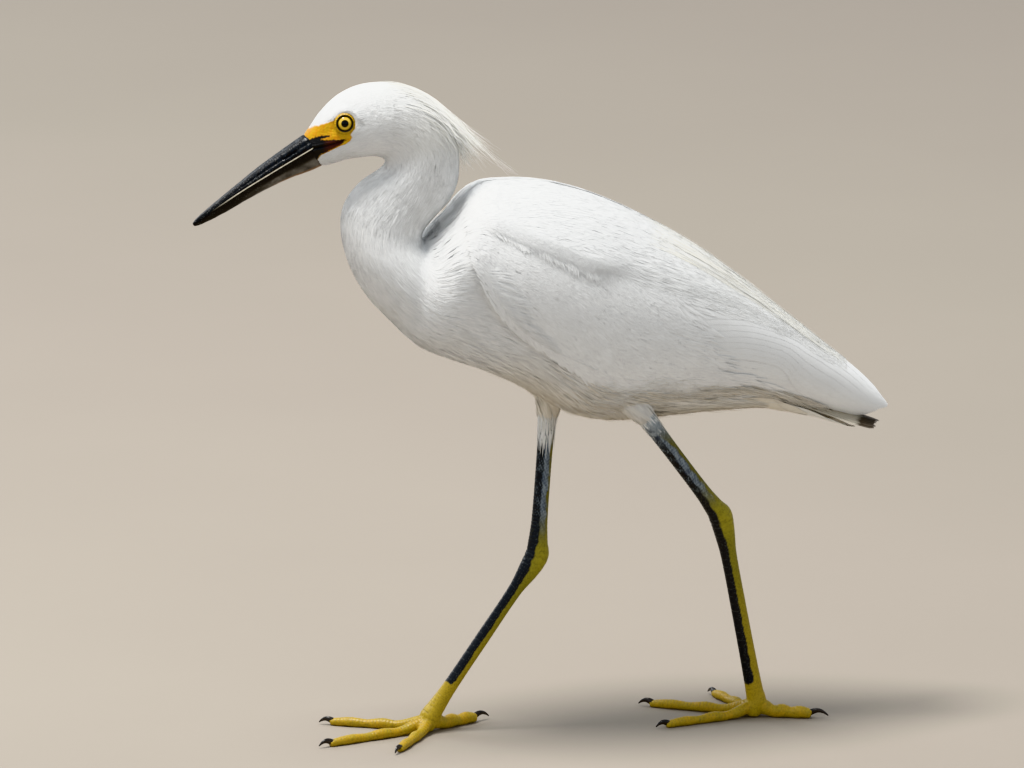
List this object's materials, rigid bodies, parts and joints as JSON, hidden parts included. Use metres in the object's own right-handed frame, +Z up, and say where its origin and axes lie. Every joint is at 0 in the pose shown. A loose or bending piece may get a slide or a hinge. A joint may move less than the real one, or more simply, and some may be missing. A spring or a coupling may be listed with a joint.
{
  "type": "snowy egret",
  "caption": "Life-size still snowy egret in mid stride, with a folded neck, closed wings, a short nape crest, back plumes, dark legs and yellow feet.",
  "frame": {"origin": "on the ground under the middle of the bird's bounding box", "axes": "+X towards the tail, so the bird faces -X; +Y towards the bird's right side; +Z up"},
  "size_m": [0.3901, 0.0959, 0.3704],
  "materials": {
    "plumage": "matte white feathers",
    "bill": "smooth black horn, paler at the root of the lower half",
    "eye": "wet, yellow iris with a round black pupil",
    "leg_skin": "scaled, black in front and yellow-green behind",
    "foot_skin": "scaled golden yellow skin",
    "claw": "smooth dark horn"
  },
  "bodies": {
    "root": {"bill_lower": "bill", "bill_upper": "bill", "claw_hind_left": "claw", "claw_hind_right": "claw", "claw_inner_left": "claw", "claw_inner_right": "claw", "claw_middle_left": "claw", "claw_middle_right": "claw", "claw_outer_left": "claw", "claw_outer_right": "claw", "eye_left": "eye", "eye_right": "eye", "foot_left": "foot_skin", "foot_right": "foot_skin", "head": "plumage", "mantle": "plumage", "neck_lower": "plumage", "neck_upper": "plumage", "shank_left": "leg_skin", "shank_right": "leg_skin", "tail": "plumage", "tarsus_left": "leg_skin", "tarsus_right": "leg_skin", "thigh_left": "plumage", "thigh_right": "plumage", "toe_hind_left": "foot_skin", "toe_hind_right": "foot_skin", "toe_inner_left": "foot_skin", "toe_inner_right": "foot_skin", "toe_middle_left": "foot_skin", "toe_middle_right": "foot_skin", "toe_outer_left": "foot_skin", "toe_outer_right": "foot_skin", "trunk": "plumage", "wing_left": "plumage", "wing_right": "plumage"}
  },
  "joints": []
}
